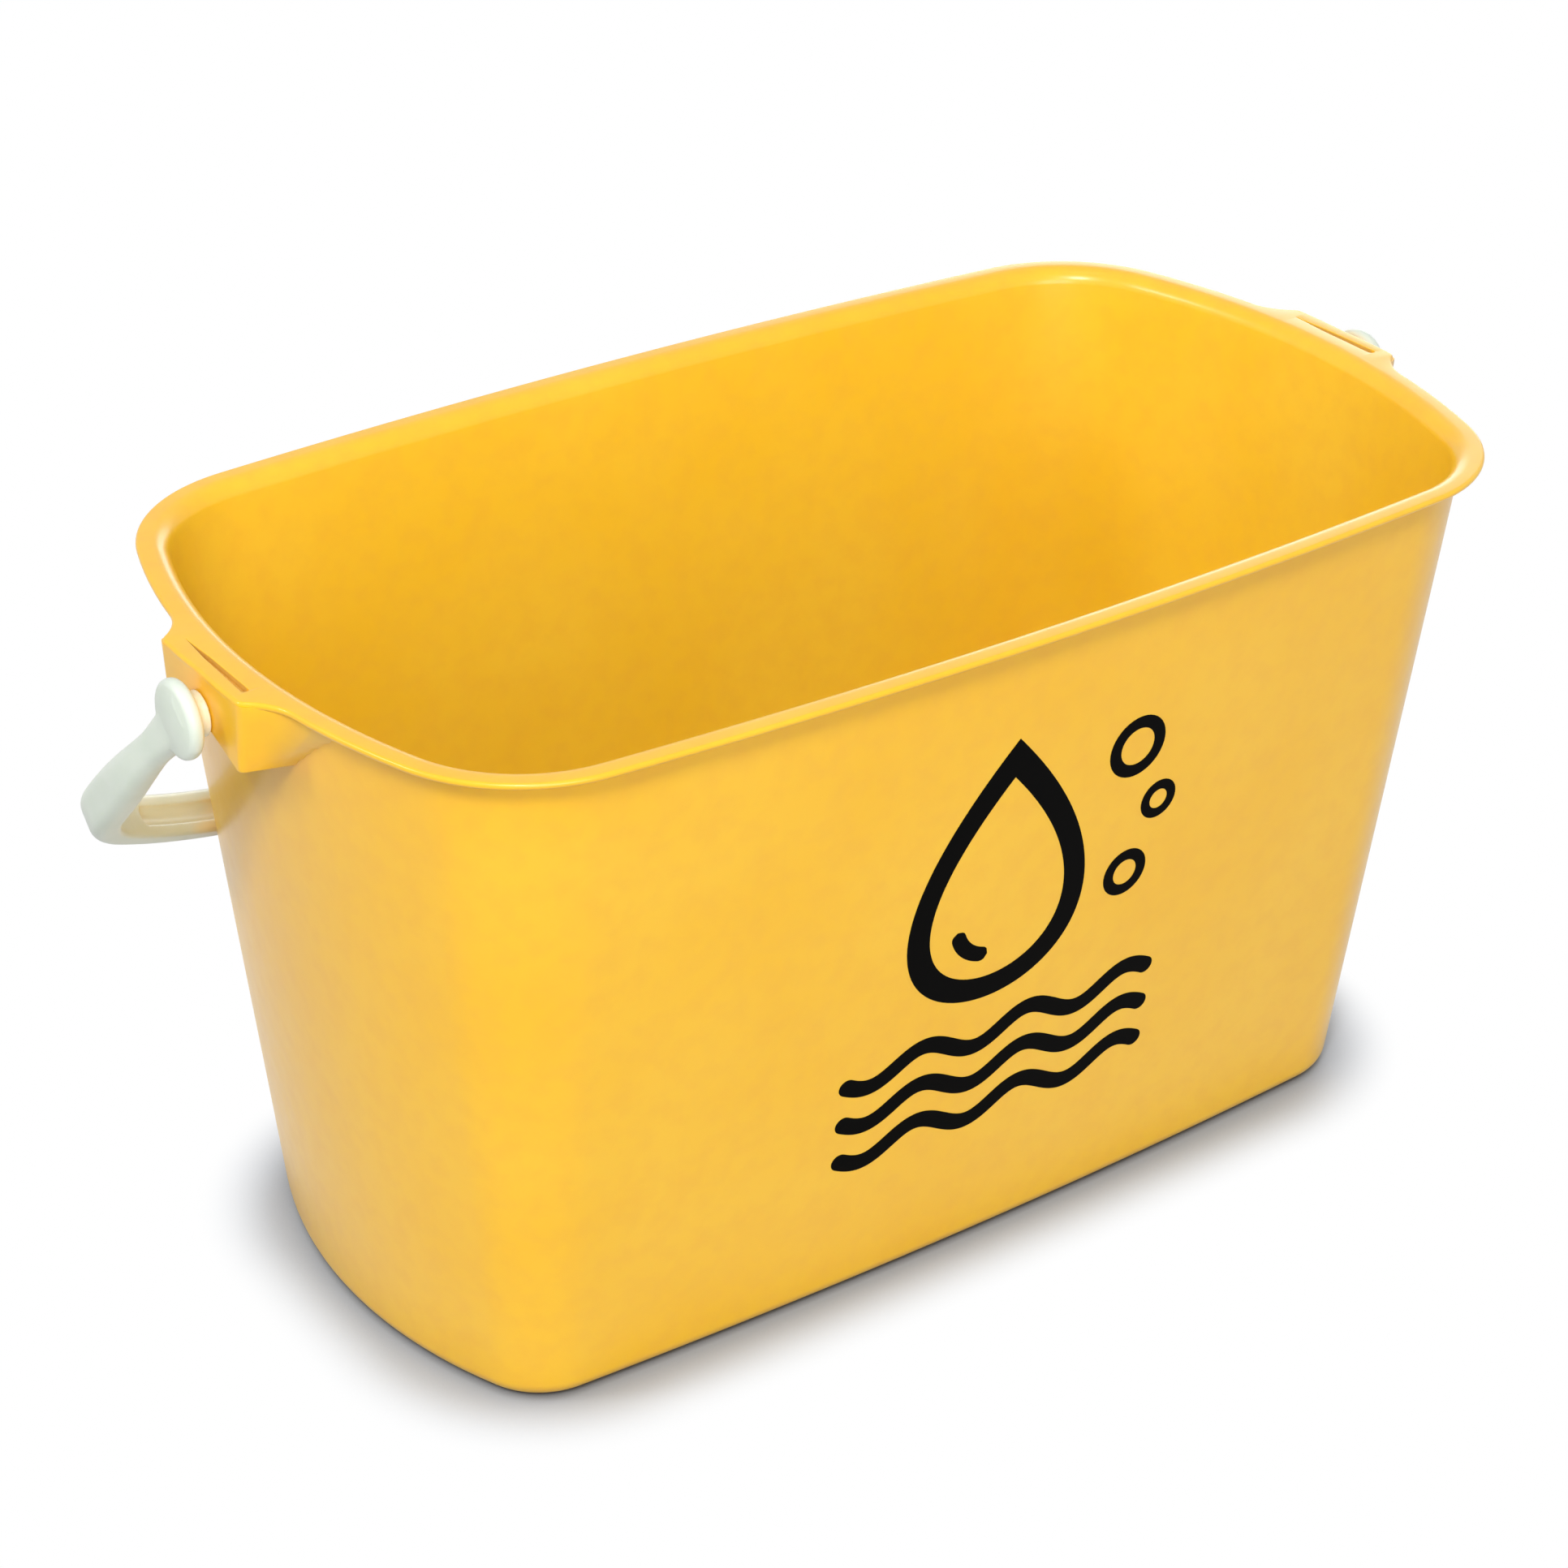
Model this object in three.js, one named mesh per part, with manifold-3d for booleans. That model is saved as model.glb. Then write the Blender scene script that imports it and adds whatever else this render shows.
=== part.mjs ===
// Oblong plastic cleaning bucket with a snap-in carrying bail.
// Millimetres, +Z up. The origin is the centre of the underside, X runs along the length,
// and -Y is the front. The bail hangs against the back wall.

import * as THREE from 'three';
import { mergeVertices } from 'three/addons/utils/BufferGeometryUtils.js';
import Module from 'manifold-3d';

const wasm = await Module();
wasm.setup();

// Tub: outer face of the wall, seen from above, at the base and at the rim
const tubHeight = 270;
const baseHalfLength = 209.3;
const baseHalfWidth = 97.9;
const baseCornerRadius = 30;
const baseEndBow = 27.7;
const baseSideBow = 7.7;
const topHalfLength = 232.5;
const topHalfWidth = 128.7;
const topCornerRadius = 51.5;
const topEndBow = 32.9;
const topSideBow = 11.8;

// Tub: walls, floor and foot
const wallThickness = 3;
const floorThickness = 3.2;
const baseEdgeRadius = 8;
const floorEdgeRadius = 12;
const footWidth = 9;
const footHeight = 2.4;
const footChamfer = 1.6;

// Rim: a flange with a fully rounded edge
const rimOverhang = 8;
const rimThickness = 2.7;
const rimInnerRadius = 6;
const rimFootRadius = 2.5;

// Lugs: hollow boxes under the rim at both ends, open below, with a slot in the top
const lugReach = 7.5;
const lugHeight = 29;
const lugFaceRise = 2.4;
const lugTopHalfWidth = 26.5;
const lugFootHalfWidth = 25;
const lugRootHalfWidth = 50;
const lugSideHollow = 3.5;
const lugWall = 3;
const lugCornerRadius = 2;
const lugLipHalfWidth = 43;
const lugLipBend = 34;
const slotInset = 0.2;
const slotFrontWidth = 3.4;
const slotBackWidth = 1.5;
const slotHalfLength = 21.5;
const snapThroat = 8.6;
const snapThroatHeight = 3.9;

// Pivot of the bail
const pivotDrop = 15.4;
const pinRadius = 5;
const pinClearance = 0.35;
const runningGap = 0.3;
const snapHeadRadius = 6.2;
const snapHeadLength = 6.4;
const snapTipRadius = 3.8;
const snapSlit = 1.8;
const collarRadius = 7.25;
const collarLength = 4.8;
const collarLipRadius = 8;
const collarLipLength = 0.9;
const discRadius = 13.8;
const discThickness = 5.6;
const discEdgeRadius = 2.5;
const discDome = 1.2;

// Bail: a strap bent in one plane, with a rounded channel in the inner face of its bar
const armLength = 85;
const shoulderRadius = 47;
const shoulderTurn = THREE.MathUtils.degToRad(45.9);
const barBowRadius = 220;
const strapInset = 0.2;
const strapWidth = 16.8;
const strapThickness = 10.5;
const strapOuterRadius = 6;
const strapInnerRadius = 2;
const neckWidth = 12;
const neckThickness = 4.8;
const neckOverlap = 8;
const neckStart = 16;
const neckEnd = 78;
const channelWidth = 7.6;
const channelDepth = 3.2;
const channelStart = 122;
const wallRestGap = 0.3;

// Facets
const endSteps = 4;
const cornerSteps = 6;
const sideSteps = 4;
const wallSteps = 5;
const filletSteps = 4;
const latheSteps = 20;
const channelSteps = 6;
const cutOverrun = 4;

const flangeUnder = tubHeight - rimThickness;
const rimEdgeRadius = rimThickness / 2;
const pivotHeight = tubHeight - pivotDrop;
const floorTop = footHeight + floorThickness;
const lugFaceX = topHalfLength + rimOverhang + lugReach;
const lugBottom = tubHeight - lugHeight;

// Solids

function toSolid(geometry) {
  const bare = geometry.clone();
  bare.deleteAttribute('normal');
  bare.deleteAttribute('uv');
  const merged = mergeVertices(bare);
  const triangles = [];
  for (let i = 0; i < merged.index.count; i += 3) {
    const corners = [0, 1, 2].map((k) => merged.index.getX(i + k));
    if (new Set(corners).size === 3) triangles.push(...corners);
  }
  return new wasm.Manifold(new wasm.Mesh({
    numProp: 3,
    vertProperties: new Float32Array(merged.attributes.position.array),
    triVerts: new Uint32Array(triangles),
  }));
}

function toGeometry(solid) {
  const { vertProperties, triVerts } = solid.getMesh();
  const geometry = new THREE.BufferGeometry();
  geometry.setAttribute('position', new THREE.BufferAttribute(vertProperties, 3));
  geometry.setIndex(new THREE.BufferAttribute(triVerts, 1));
  geometry.computeVertexNormals();
  return geometry;
}

// Skin over a row of closed rings, with a fan to the middle of the first and the last
function loft(rings) {
  const count = rings[0].length;
  const positions = rings.flat().flatMap((p) => [p.x, p.y, p.z]);
  const indices = [];
  for (let i = 0; i + 1 < rings.length; i += 1) {
    for (let j = 0; j < count; j += 1) {
      const a = i * count + j;
      const b = i * count + (j + 1) % count;
      indices.push(a, b, b + count, a, b + count, a + count);
    }
  }
  const addCap = (ring, first, flip) => {
    const middle = positions.length / 3;
    const centre = new THREE.Vector3();
    ring.forEach((p) => centre.addScaledVector(p, 1 / count));
    positions.push(centre.x, centre.y, centre.z);
    for (let j = 0; j < count; j += 1) {
      const a = first + j;
      const b = first + (j + 1) % count;
      indices.push(middle, flip ? b : a, flip ? a : b);
    }
  };
  addCap(rings[0], 0, true);
  addCap(rings.at(-1), (rings.length - 1) * count, false);
  const geometry = new THREE.BufferGeometry();
  geometry.setAttribute('position', new THREE.Float32BufferAttribute(positions, 3));
  geometry.setIndex(indices);
  return geometry;
}

// Straight bar of the given section, centred on the plane of the outline
function prism(outline, depth) {
  const shape = new THREE.Shape(outline.map(([x, y]) => new THREE.Vector2(x, y)));
  return new THREE.ExtrudeGeometry(shape, { depth, bevelEnabled: false }).translate(0, 0, -depth / 2);
}

// The same solid on the other side of the YZ plane
function mirrored(geometry) {
  const twin = geometry.clone().scale(-1, 1, 1);
  const index = twin.index.array;
  for (let i = 0; i < index.length; i += 3) [index[i], index[i + 1]] = [index[i + 1], index[i]];
  return twin;
}

// Points on an arc in a profile plane
function arc(cx, cy, radius, from, to, steps = filletSteps) {
  return Array.from({ length: steps + 1 }, (_, i) => {
    const angle = THREE.MathUtils.lerp(from, to, i / steps);
    return new THREE.Vector2(cx + radius * Math.cos(angle), cy + radius * Math.sin(angle));
  });
}

const quarter = Math.PI / 2;

// Plan of the tub

// Each quarter is a shallow end arc and a shallow side arc, joined by a tangent corner arc
function planArcs(z) {
  const share = z / tubHeight;
  const at = (base, top) => THREE.MathUtils.lerp(base, top, share);
  const halfLength = at(baseHalfLength, topHalfLength);
  const halfWidth = at(baseHalfWidth, topHalfWidth);
  const corner = at(baseCornerRadius, topCornerRadius);
  const endBow = at(baseEndBow, topEndBow);
  const sideBow = at(baseSideBow, topSideBow);
  const endRadius = (halfWidth ** 2 + endBow ** 2) / (2 * endBow);
  const sideRadius = (halfLength ** 2 + sideBow ** 2) / (2 * sideBow);
  const endCentre = new THREE.Vector2(halfLength - endRadius, 0);
  const sideCentre = new THREE.Vector2(0, halfWidth - sideRadius);
  const toEnd = endRadius - corner;
  const toSide = sideRadius - corner;
  const line = sideCentre.clone().sub(endCentre);
  const apart = line.length();
  line.normalize();
  const along = (toEnd ** 2 - toSide ** 2 + apart ** 2) / (2 * apart);
  const across = Math.sqrt(toEnd ** 2 - along ** 2);
  const cornerCentre = endCentre.clone().addScaledVector(line, along);
  cornerCentre.x -= line.y * across;
  cornerCentre.y += line.x * across;
  return { endRadius, sideRadius, corner, endCentre, sideCentre, cornerCentre };
}

// The wall's outer face at height z, moved outwards by offset, as one ring seen from above
function planRing(z, offset) {
  const plan = planArcs(z);
  const endAngle = plan.cornerCentre.clone().sub(plan.endCentre).angle();
  const sideAngle = plan.cornerCentre.clone().sub(plan.sideCentre).angle();
  const quadrant = [
    ...arc(plan.endCentre.x, 0, plan.endRadius + offset, 0, endAngle, endSteps),
    ...arc(plan.cornerCentre.x, plan.cornerCentre.y, plan.corner + offset,
      endAngle, sideAngle, cornerSteps).slice(1),
    ...arc(0, plan.sideCentre.y, plan.sideRadius + offset, sideAngle, quarter, sideSteps).slice(1),
  ];
  const mirror = (row, sx, sy) => row.reverse().map((p) => new THREE.Vector2(sx * p.x, sy * p.y));
  const half = [...quadrant, ...mirror(quadrant.slice(0, -1), -1, 1)];
  const whole = [...half, ...mirror(half.slice(1, -1), 1, -1)];
  return whole.map((p) => new THREE.Vector3(p.x, p.y, z));
}

// Distance of a point outside the wall's outer face, measured level
function wallDistance(point) {
  const plan = planArcs(point.z);
  const p = new THREE.Vector2(Math.abs(point.x), Math.abs(point.y));
  const fromCorner = p.clone().sub(plan.cornerCentre);
  const endLine = plan.cornerCentre.clone().sub(plan.endCentre);
  const sideLine = plan.cornerCentre.clone().sub(plan.sideCentre);
  if (endLine.cross(fromCorner) < 0) return p.distanceTo(plan.endCentre) - plan.endRadius;
  if (sideLine.cross(fromCorner) > 0) return p.distanceTo(plan.sideCentre) - plan.sideRadius;
  return fromCorner.length() - plan.corner;
}

// Tub

// Section of the shell, from the underside round the rim and down to the floor:
// x is the offset from the wall's outer face, y is the height
function tubSection() {
  const points = [];
  const add = (x, y) => points.push(new THREE.Vector2(x, y));
  const footInner = -baseEdgeRadius - footWidth;
  add(footInner - footChamfer, footHeight);
  add(footInner, 0);
  points.push(...arc(-baseEdgeRadius, baseEdgeRadius, baseEdgeRadius, -quarter, 0, filletSteps));

  const wallTop = flangeUnder - rimFootRadius;
  for (let i = 1; i < wallSteps; i += 1) {
    add(0, THREE.MathUtils.lerp(baseEdgeRadius, wallTop, i / wallSteps));
  }
  points.push(...arc(rimFootRadius, wallTop, rimFootRadius, Math.PI, quarter, 3));
  points.push(...arc(rimOverhang - rimEdgeRadius, tubHeight - rimEdgeRadius, rimEdgeRadius,
    -quarter, quarter, 2 * filletSteps));
  points.push(...arc(rimInnerRadius - wallThickness, tubHeight - rimInnerRadius, rimInnerRadius,
    quarter, Math.PI, filletSteps + 1));

  const floorBend = floorTop + floorEdgeRadius;
  for (let i = 1; i < wallSteps; i += 1) {
    add(-wallThickness, THREE.MathUtils.lerp(tubHeight - rimInnerRadius, floorBend, i / wallSteps));
  }
  points.push(...arc(-wallThickness - floorEdgeRadius, floorBend, floorEdgeRadius, 0, -quarter,
    filletSteps + 1));
  return points;
}

// Plan of a lug's box at height z, drawn for the +X end and pulled in by inset:
// a flat face with rounded corners, and sides that spread and hollow out towards the rim
function lugBoxRing(z, inset) {
  const share = THREE.MathUtils.clamp((z - lugBottom) / (flangeUnder - lugBottom), 0, 1);
  const faceX = lugFaceX - inset;
  const faceY = THREE.MathUtils.lerp(lugFootHalfWidth, lugTopHalfWidth, share) - inset;
  const rootY = THREE.MathUtils.lerp(lugFootHalfWidth, lugRootHalfWidth, share) - inset;
  const corner = new THREE.Vector2(faceX, faceY);
  const root = new THREE.Vector2(topHalfLength, rootY);
  const inner = corner.clone().lerp(root, 2);
  const start = corner.clone().lerp(root, lugCornerRadius / corner.distanceTo(root));
  const side = root.clone().sub(corner).normalize();
  const hollow = corner.clone().lerp(root, 1 / 2);
  hollow.addScaledVector(new THREE.Vector2(-side.y, side.x), 2 * lugSideHollow * share);
  const path = new THREE.Path();
  path.moveTo(inner.x, -inner.y);
  path.lineTo(root.x, -root.y);
  path.quadraticCurveTo(hollow.x, -hollow.y, start.x, -start.y);
  path.quadraticCurveTo(faceX, -faceY, faceX, lugCornerRadius - faceY);
  path.lineTo(faceX, faceY - lugCornerRadius);
  path.quadraticCurveTo(faceX, faceY, start.x, start.y);
  path.quadraticCurveTo(hollow.x, hollow.y, root.x, root.y);
  path.lineTo(inner.x, inner.y);
  return path.getPoints(filletSteps).map((p) => new THREE.Vector3(p.x, p.y, z));
}

// Plan of the lip on top of a lug, which sweeps back into the rim's edge on both sides
function lugLipRing(z, inset) {
  const rimEdge = topHalfLength + rimOverhang;
  const endRadius = planArcs(tubHeight).endRadius + rimOverhang;
  const rimX = (y) => rimEdge - endRadius + Math.sqrt(endRadius ** 2 - y ** 2);
  const faceX = lugFaceX - inset;
  const faceY = lugTopHalfWidth - inset;
  const bend = new THREE.Vector2(rimX(lugLipBend) - inset, lugLipBend - inset);
  const end = new THREE.Vector2(rimX(lugLipHalfWidth) - inset, lugLipHalfWidth);
  const corner = new THREE.Vector2(faceX, faceY);
  const start = corner.clone().lerp(bend, lugCornerRadius / corner.distanceTo(bend));
  const path = new THREE.Path();
  path.moveTo(end.x, -end.y);
  path.quadraticCurveTo(bend.x, -bend.y, start.x, -start.y);
  path.quadraticCurveTo(faceX, -faceY, faceX, lugCornerRadius - faceY);
  path.lineTo(faceX, faceY - lugCornerRadius);
  path.quadraticCurveTo(faceX, faceY, start.x, start.y);
  path.quadraticCurveTo(bend.x, bend.y, end.x, end.y);
  return path.getPoints(2 * filletSteps).map((p) => new THREE.Vector3(p.x, p.y, z));
}

function lugSolid() {
  const boxTop = tubHeight - rimEdgeRadius;
  const box = [lugBoxRing(lugBottom, 0), lugBoxRing(flangeUnder, 0), lugBoxRing(boxTop, 0)];
  const lip = arc(-rimEdgeRadius, boxTop, rimEdgeRadius, -quarter, quarter, 2 * filletSteps)
    .map((p) => lugLipRing(p.y, -p.x));
  const pocket = [
    lugBoxRing(lugBottom - cutOverrun, lugWall),
    lugBoxRing(lugBottom, lugWall),
    lugBoxRing(flangeUnder, lugWall),
  ];
  const inside = [
    planRing(lugBottom - cutOverrun, -wallThickness / 2),
    planRing(tubHeight + cutOverrun, -wallThickness / 2),
  ];
  const slotX = topHalfLength + rimOverhang + slotInset;
  const slot = prism([
    [slotX, -slotHalfLength],
    [slotX + slotFrontWidth, -slotHalfLength],
    [slotX + slotBackWidth, slotHalfLength],
    [slotX, slotHalfLength],
  ], 2 * cutOverrun).translate(0, 0, tubHeight);
  // The underside climbs from the wall out to the face
  const slopeEnd = lugBottom + lugFaceRise * (1 + cutOverrun / (lugFaceX - topHalfLength));
  const underCut = prism([
    [topHalfLength, lugBottom],
    [topHalfLength, lugBottom - cutOverrun],
    [lugFaceX + cutOverrun, lugBottom - cutOverrun],
    [lugFaceX + cutOverrun, slopeEnd],
  ], 2 * lugRootHalfWidth).rotateX(quarter);
  // Lead-in and throat that the pin snaps up through, narrower than the pin
  const throatFoot = pivotHeight - snapThroatHeight;
  const leadIn = prism([
    [-lugFootHalfWidth, lugBottom + lugFaceRise],
    [-lugFootHalfWidth, lugBottom - cutOverrun],
    [lugFootHalfWidth, lugBottom - cutOverrun],
    [lugFootHalfWidth, lugBottom + lugFaceRise],
    [snapThroat / 2, throatFoot],
    [snapThroat / 2, pivotHeight],
    [-snapThroat / 2, pivotHeight],
    [-snapThroat / 2, throatFoot],
  ], lugWall + 2 * runningGap).rotateX(quarter).rotateZ(quarter).translate(lugFaceX - lugWall / 2, 0, 0);
  const holeRadius = pinRadius + pinClearance;
  const hole = new THREE.CylinderGeometry(holeRadius, holeRadius, lugWall + cutOverrun, latheSteps);
  hole.rotateZ(quarter);
  hole.translate(lugFaceX - lugWall / 2, 0, pivotHeight);
  return [pocket, inside].map((rings) => loft(rings))
    .concat([slot, underCut, leadIn, hole])
    .reduce((solid, cut) => solid.subtract(toSolid(cut)), toSolid(loft(box)).add(toSolid(loft(lip))));
}

function tubGeometry() {
  const shell = toSolid(loft(tubSection().map((p) => planRing(p.y, p.x))));
  const lug = toGeometry(lugSolid());
  return toGeometry(shell.add(toSolid(lug)).add(toSolid(mirrored(lug))));
}

// Bail, drawn in its own plane: X across the tub, -Z away from the pivot axis, Y through the strap

const discInnerX = lugFaceX + runningGap + collarLength;
const strapInnerX = discInnerX + strapInset;
const strapMidX = strapInnerX + strapThickness / 2;
const shoulderLength = shoulderRadius * shoulderTurn;
const shoulderEndX = strapMidX - shoulderRadius * (1 - Math.cos(shoulderTurn));
const bowEndTurn = Math.acos(Math.max(Math.cos(shoulderTurn) - shoulderEndX / barBowRadius, 0));
const bowLength = barBowRadius * (bowEndTurn - shoulderTurn);
const bowEndX = shoulderEndX - barBowRadius * (Math.cos(shoulderTurn) - Math.cos(bowEndTurn));
const halfStrap = armLength + shoulderLength + bowLength + bowEndX;

// Place on the strap's middle line, at a length from the right pivot: x, reach from the pivot
// axis, and how far the strap has turned from the arm's direction
function strapPlace(length) {
  if (length > halfStrap) {
    const twin = strapPlace(2 * halfStrap - length);
    return { x: -twin.x, reach: twin.reach, turn: Math.PI - twin.turn };
  }
  if (length <= armLength) return { x: strapMidX, reach: length, turn: 0 };
  const shoulderShare = Math.min((length - armLength) / shoulderLength, 1);
  const turn = shoulderTurn * shoulderShare;
  const x = strapMidX - shoulderRadius * (1 - Math.cos(turn));
  const reach = armLength + shoulderRadius * Math.sin(turn);
  if (shoulderShare < 1) return { x, reach, turn };
  const bowShare = Math.min((length - armLength - shoulderLength) / bowLength, 1);
  const bowTurn = THREE.MathUtils.lerp(shoulderTurn, bowEndTurn, bowShare);
  const bowX = x - barBowRadius * (Math.cos(shoulderTurn) - Math.cos(bowTurn));
  const bowReach = reach + barBowRadius * (Math.sin(bowTurn) - Math.sin(shoulderTurn));
  const flat = length - armLength - shoulderLength - bowLength;
  return { x: bowX - Math.max(flat, 0), reach: bowReach, turn: bowShare < 1 ? bowTurn : bowEndTurn };
}

// Lengths along the right half, closer together where the strap bends
function strapLengths() {
  const row = (from, to, steps) => Array.from({ length: steps }, (_, i) => (
    THREE.MathUtils.lerp(from, to, i / steps)));
  const shoulderEnd = armLength + shoulderLength;
  const bowEnd = shoulderEnd + bowLength;
  const half = [
    ...row(-neckOverlap, neckStart, 2),
    ...row(neckStart, neckEnd, 6),
    ...row(neckEnd, armLength, 2),
    ...row(armLength, shoulderEnd, 7),
    ...row(shoulderEnd, bowEnd, 9),
    ...row(bowEnd, halfStrap, 2),
  ];
  return [...half, halfStrap, ...half.map((length) => 2 * halfStrap - length).reverse()];
}

// A point beside the strap's middle line: out along its outer side, across along Y
function besideStrap(place, out, across) {
  return new THREE.Vector3(
    place.x + out * Math.cos(place.turn),
    -across,
    -place.reach - out * Math.sin(place.turn),
  );
}

// Rounded section of the strap, narrower and thinner where it grows out of the knob
function strapRing(length) {
  const fromKnob = Math.min(length, 2 * halfStrap - length);
  const thickening = THREE.MathUtils.smoothstep(fromKnob, 0, armLength);
  const widening = THREE.MathUtils.smoothstep(fromKnob, neckStart, neckEnd);
  const thickness = THREE.MathUtils.lerp(neckThickness, strapThickness, thickening);
  const width = THREE.MathUtils.lerp(neckWidth, strapWidth, widening);
  const outerRadius = Math.min(strapOuterRadius, thickness - strapInnerRadius);
  const place = strapPlace(length);
  const inner = -strapThickness / 2 + strapInnerRadius;
  const outer = -strapThickness / 2 + thickness - outerRadius;
  const innerSide = width / 2 - strapInnerRadius;
  const outerSide = width / 2 - outerRadius;
  const section = [
    ...arc(outer, outerSide, outerRadius, 0, quarter, 3),
    ...arc(inner, innerSide, strapInnerRadius, quarter, Math.PI, 2),
    ...arc(inner, -innerSide, strapInnerRadius, Math.PI, 3 * quarter, 2),
    ...arc(outer, -outerSide, outerRadius, -quarter, 0, 3),
  ];
  return section.map((p) => besideStrap(place, p.x, p.y));
}

// Channel with a rounded bottom in the inner face of the bar, shallower towards its round ends
function channelSolid() {
  const half = channelWidth / 2;
  const face = -strapThickness / 2;
  const ringAt = (length) => {
    const fromEnd = Math.min(length - channelStart, 2 * halfStrap - channelStart - length);
    const short = Math.max(half - fromEnd, 0);
    const side = Math.sqrt(half ** 2 - short ** 2);
    const place = strapPlace(length);
    const bottom = arc(0, 0, side, -quarter, quarter, channelSteps)
      .map((p) => [face + p.x * channelDepth / half, p.y]);
    return [...bottom, [face - cutOverrun, side], [face - cutOverrun, -side]]
      .map(([out, across]) => besideStrap(place, out, across));
  };
  const end = 5;
  const start = Array.from({ length: end }, (_, i) => (
    channelStart + half * (1 - Math.cos(quarter * (i + 1 / 2) / end))));
  const middle = strapLengths().filter((length) => (
    length > start.at(-1) && length < 2 * halfStrap - start.at(-1)));
  const stop = start.map((length) => 2 * halfStrap - length).reverse();
  return toSolid(loft([...start, ...middle, ...stop].map(ringAt)));
}

// Snap pin, collar and mushroom disc, turned about the pivot axis on the +X side
function knobSolid() {
  const headBack = lugFaceX - lugWall - runningGap;
  const headTip = headBack - snapHeadLength;
  const collarFace = lugFaceX + runningGap;
  const discOuter = discInnerX + discThickness;
  const rim = discRadius - discEdgeRadius;
  const profile = [
    [0, headTip],
    [snapTipRadius, headTip],
    [snapHeadRadius, headBack - snapHeadLength / 3],
    [snapHeadRadius, headBack],
    [pinRadius, headBack],
    [pinRadius, collarFace],
    [collarLipRadius, collarFace],
    [collarLipRadius, collarFace + collarLipLength],
    [collarRadius, collarFace + collarLipLength],
    [collarRadius, discInnerX],
    ...arc(rim, discInnerX + discEdgeRadius, discEdgeRadius, -quarter, 0, 3).map((p) => p.toArray()),
    ...arc(rim, discOuter - discEdgeRadius, discEdgeRadius, 0, quarter, 3).map((p) => p.toArray()),
    [rim / 2, discOuter + discDome * 3 / 4],
    [0, discOuter + discDome],
  ].map(([r, x]) => new THREE.Vector2(r, x));
  const knob = new THREE.LatheGeometry(profile, latheSteps);
  knob.rotateZ(-quarter);
  const slitLength = headBack - headTip + 2 * cutOverrun;
  const slit = new THREE.BoxGeometry(slitLength, 2 * snapHeadRadius + cutOverrun, snapSlit);
  slit.translate(headBack - slitLength / 2 + runningGap, 0, 0);
  return toSolid(knob).subtract(toSolid(slit));
}

function bailGeometry() {
  const strap = toSolid(loft(strapLengths().map(strapRing)));
  const knob = toGeometry(knobSolid());
  return toGeometry(strap
    .subtract(channelSolid())
    .add(toSolid(knob))
    .add(toSolid(knob.rotateZ(Math.PI))));
}

// The bail swings down until its bar is a small gap from the back wall
function restTurn() {
  const axis = new THREE.Vector3(1, 0, 0);
  const bar = strapLengths().filter((length) => length > armLength && length <= halfStrap);
  const points = bar.flatMap(strapRing);
  const clearance = (angle) => Math.min(...points.map((point) => {
    const swung = point.clone().applyAxisAngle(axis, angle);
    swung.z += pivotHeight;
    return wallDistance(swung);
  }));
  let low = 0;
  let high = quarter;
  while (high - low > 1e-5) {
    const middle = (low + high) / 2;
    if (clearance(middle) < wallRestGap) low = middle;
    else high = middle;
  }
  return high;
}

const tub = new THREE.Mesh(tubGeometry(), new THREE.MeshStandardMaterial({
  color: 0xf6bd48,
  roughness: 0.42,
  metalness: 0,
}));
tub.name = 'tub';

const bail = new THREE.Mesh(bailGeometry(), new THREE.MeshStandardMaterial({
  color: 0xd9e2d4,
  roughness: 0.38,
  metalness: 0,
}));
bail.name = 'bail';
bail.position.z = pivotHeight;
bail.rotation.x = restTurn();

const bucket = new THREE.Group();
bucket.add(tub, bail);

export default bucket;
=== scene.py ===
import math

import bmesh
import bpy
from mathutils import Matrix, Vector


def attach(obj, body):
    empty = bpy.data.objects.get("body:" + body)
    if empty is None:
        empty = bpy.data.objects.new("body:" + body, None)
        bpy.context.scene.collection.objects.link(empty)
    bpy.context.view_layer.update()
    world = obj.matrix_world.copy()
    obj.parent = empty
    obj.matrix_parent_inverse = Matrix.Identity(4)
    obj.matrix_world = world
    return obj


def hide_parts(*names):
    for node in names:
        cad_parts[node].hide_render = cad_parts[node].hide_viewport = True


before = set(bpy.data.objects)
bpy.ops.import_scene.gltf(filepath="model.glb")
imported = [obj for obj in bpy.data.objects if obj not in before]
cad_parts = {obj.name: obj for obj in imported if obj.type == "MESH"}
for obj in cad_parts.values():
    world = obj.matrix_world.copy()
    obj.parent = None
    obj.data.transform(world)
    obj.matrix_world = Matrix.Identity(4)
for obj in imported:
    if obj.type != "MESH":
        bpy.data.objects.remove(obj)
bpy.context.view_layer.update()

# Oblong cleaning bucket of injection moulded polypropylene, with a snap-in bail.
# Sizes are in millimetres, like the moulding's drawing; meshes are made in metres.
MM = 0.001
QUARTER = math.pi / 2
# How far a cutter stands out of what it cuts
OVERRUN = 4.0

# Tub: the wall's outer face, seen from above, as half lengths, corner radii and bows
HEIGHT = 270.0
BASE_PLAN = {"length": 209.3, "width": 97.9, "corner": 30.0, "end_bow": 27.7, "side_bow": 7.7}
TOP_PLAN = {"length": 232.5, "width": 128.7, "corner": 51.5, "end_bow": 32.9, "side_bow": 11.8}
WALL = 3.0
FLOOR_TOP = 5.6
BASE_EDGE = 8.0
FLOOR_EDGE = 12.0
FOOT_WIDTH = 9.0
FOOT_HEIGHT = 2.4
FOOT_CHAMFER = 1.6
# Sprue's stub in a dimple under the floor's middle: radius, and height above the floor's underside
GATE_MARK = ((3.0, -0.9), (3.4, -0.5), (3.6, 0.4), (9.0, 0.4), (10.2, 0.0))

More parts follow.
